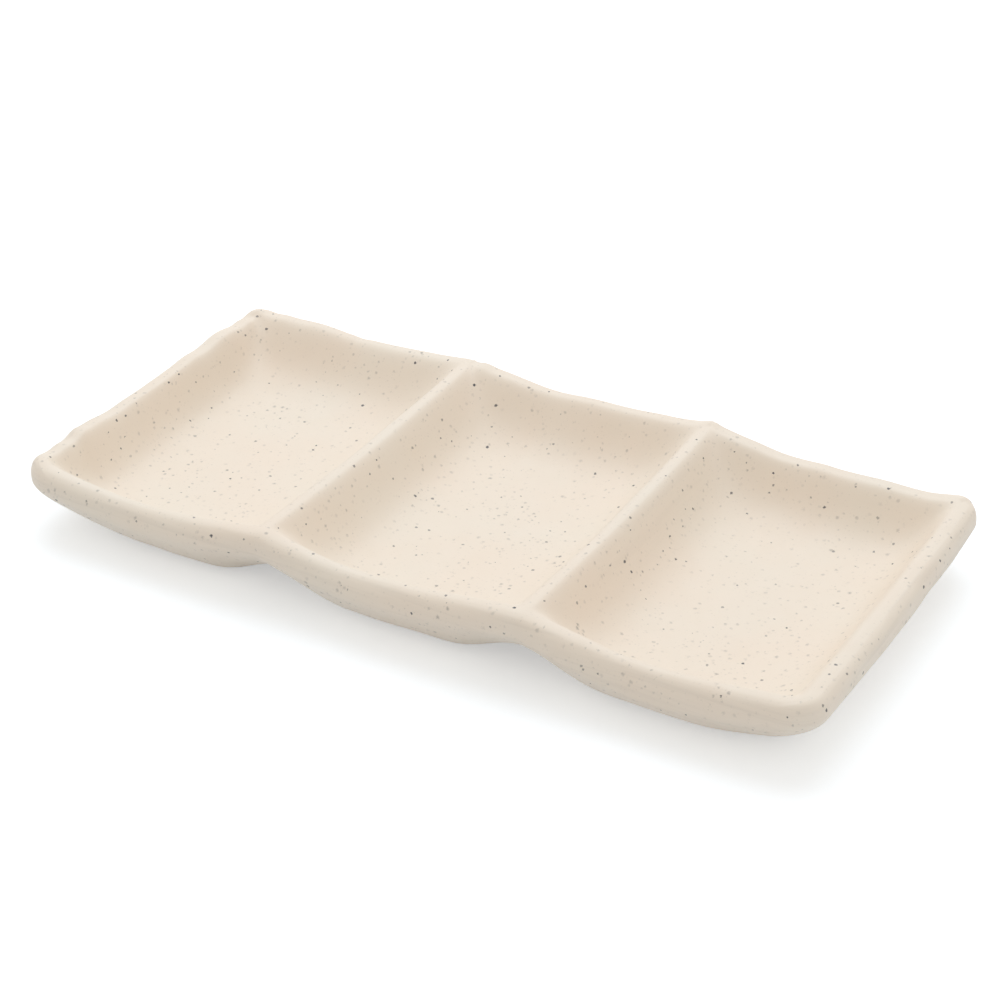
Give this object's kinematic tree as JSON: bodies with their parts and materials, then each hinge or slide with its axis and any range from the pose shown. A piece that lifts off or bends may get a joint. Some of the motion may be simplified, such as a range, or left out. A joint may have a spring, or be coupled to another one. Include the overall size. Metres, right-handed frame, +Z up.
{
  "type": "divided sauce dish",
  "caption": "Rectangular dish for sauces, parted into shallow wells by low ridges, with a rounded wavy rim and rounded bellies on low feet.",
  "frame": {"origin": "middle of the dish on the plane that its feet stand on", "axes": "+X along the row of wells, +Y across the dish, +Z up"},
  "size_m": [0.25, 0.125, 0.0231],
  "materials": {
    "melamine": "matte warm off-white with fine dark blue-grey specks"
  },
  "bodies": {
    "root": {"dish": "melamine"}
  },
  "joints": []
}
